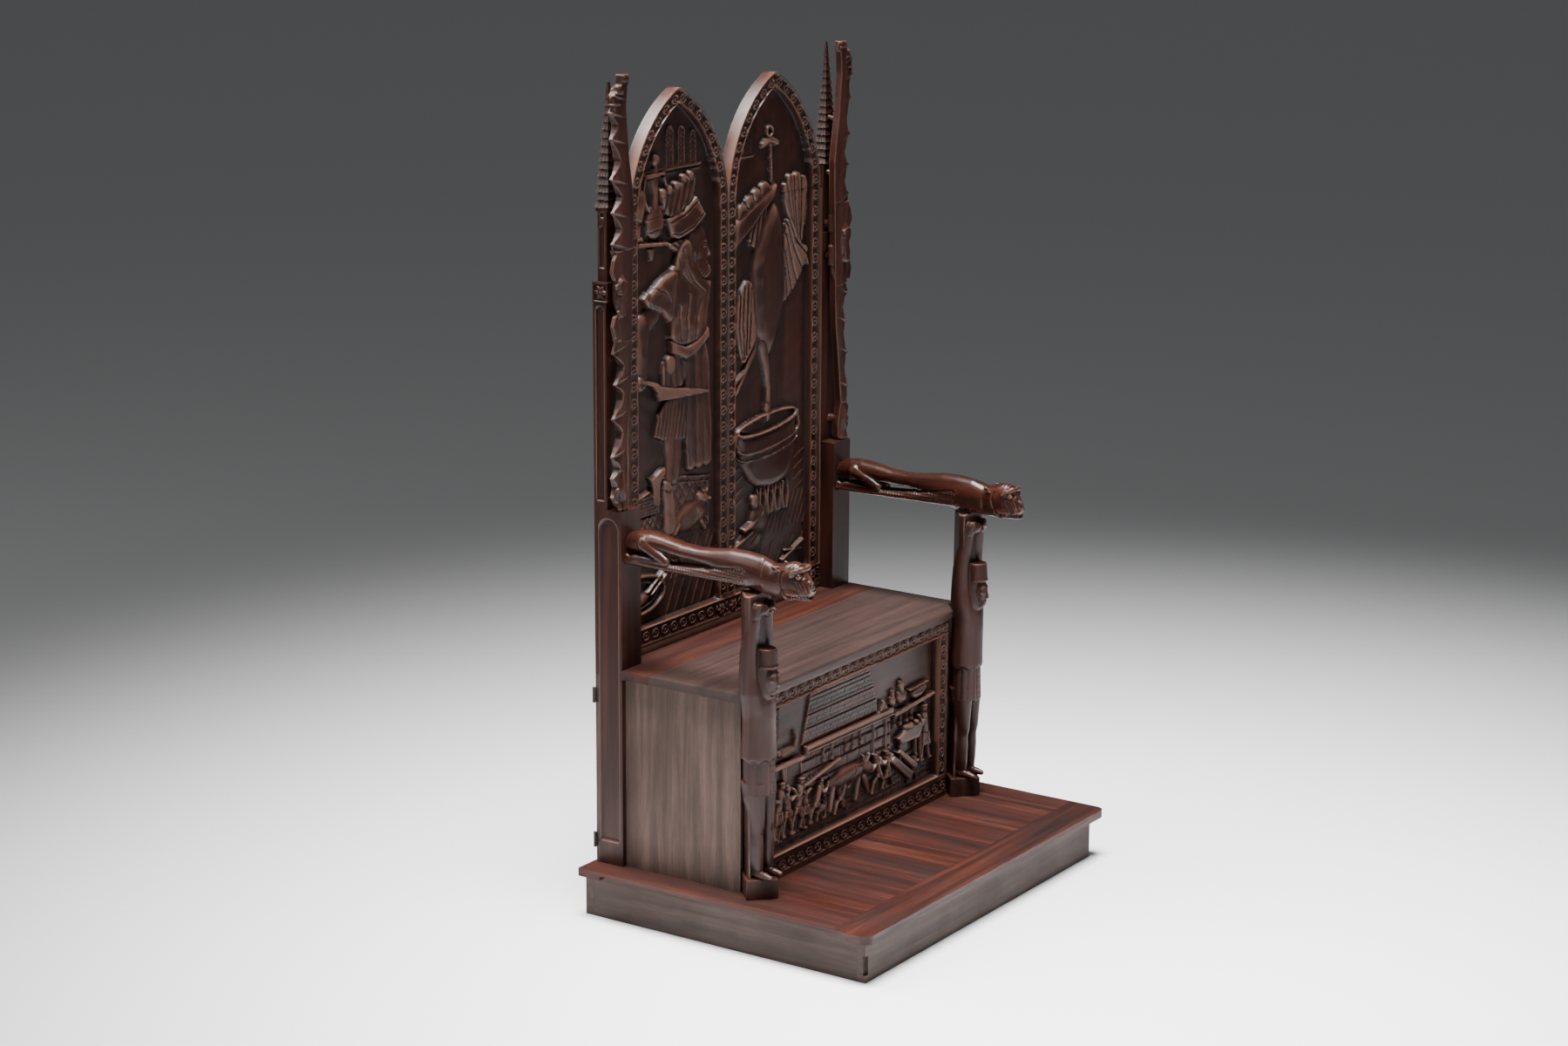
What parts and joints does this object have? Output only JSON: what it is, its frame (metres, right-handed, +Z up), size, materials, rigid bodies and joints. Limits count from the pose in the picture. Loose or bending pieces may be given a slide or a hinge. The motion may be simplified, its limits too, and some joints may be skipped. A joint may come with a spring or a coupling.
{
  "type": "carved_throne",
  "caption": "Carved wooden throne with a tall double-lancet back in relief, spired uprights, beast arms on figure supports and a chest seat on a planked platform.",
  "frame": {"origin": "on the ground under the middle of the platform's outline", "axes": "+Z up, -Y the way the throne faces, +X to the right of someone looking at its front"},
  "size_m": [1.067, 0.79, 1.934],
  "materials": {
    "carved_wood": "dark reddish-brown satin, worn lighter on the high carving",
    "polished_wood": "dark reddish-brown, polished by handling",
    "deck_wood": "redder boards, worn satin",
    "plain_wood": "greyer brown plain boards, dull satin",
    "iron": "dark dull iron"
  },
  "bodies": {
    "throne": {"plinth_front": "plain_wood", "plinth_back": "plain_wood", "plinth_left": "plain_wood", "plinth_right": "plain_wood", "batten_front": "deck_wood", "batten_back": "deck_wood", "deck_front_board": "deck_wood", "deck_plank_1": "deck_wood", "deck_plank_2": "deck_wood", "deck_plank_3": "deck_wood", "deck_plank_4": "deck_wood", "deck_plank_5": "deck_wood", "deck_plank_6": "deck_wood", "deck_plank_7": "deck_wood", "deck_plank_8": "deck_wood", "deck_plank_9": "deck_wood", "deck_plank_10": "deck_wood", "deck_plank_11": "deck_wood", "chest_side_right": "plain_wood", "chest_side_left": "plain_wood", "chest_front_panel": "carved_wood", "seat_back_strip": "deck_wood", "seat_board": "deck_wood", "upright_right": "carved_wood", "upright_left": "carved_wood", "back_panel": "carved_wood", "support_right": "carved_wood", "support_left": "carved_wood", "arm_right": "polished_wood", "arm_left": "polished_wood", "hinge_lower_fixed": "iron", "hinge_upper_fixed": "iron"},
    "rear_door": {"rear_door": "plain_wood", "hinge_lower_moving": "iron", "hinge_upper_moving": "iron"}
  },
  "joints": [
    {"name": "rear_door_hinge", "type": "hinge", "parent": "throne", "child": "rear_door", "pos_m": [-0.4756, 0.3895, 0], "axis": [0, 0, 1], "range_deg": [0, 170]}
  ]
}
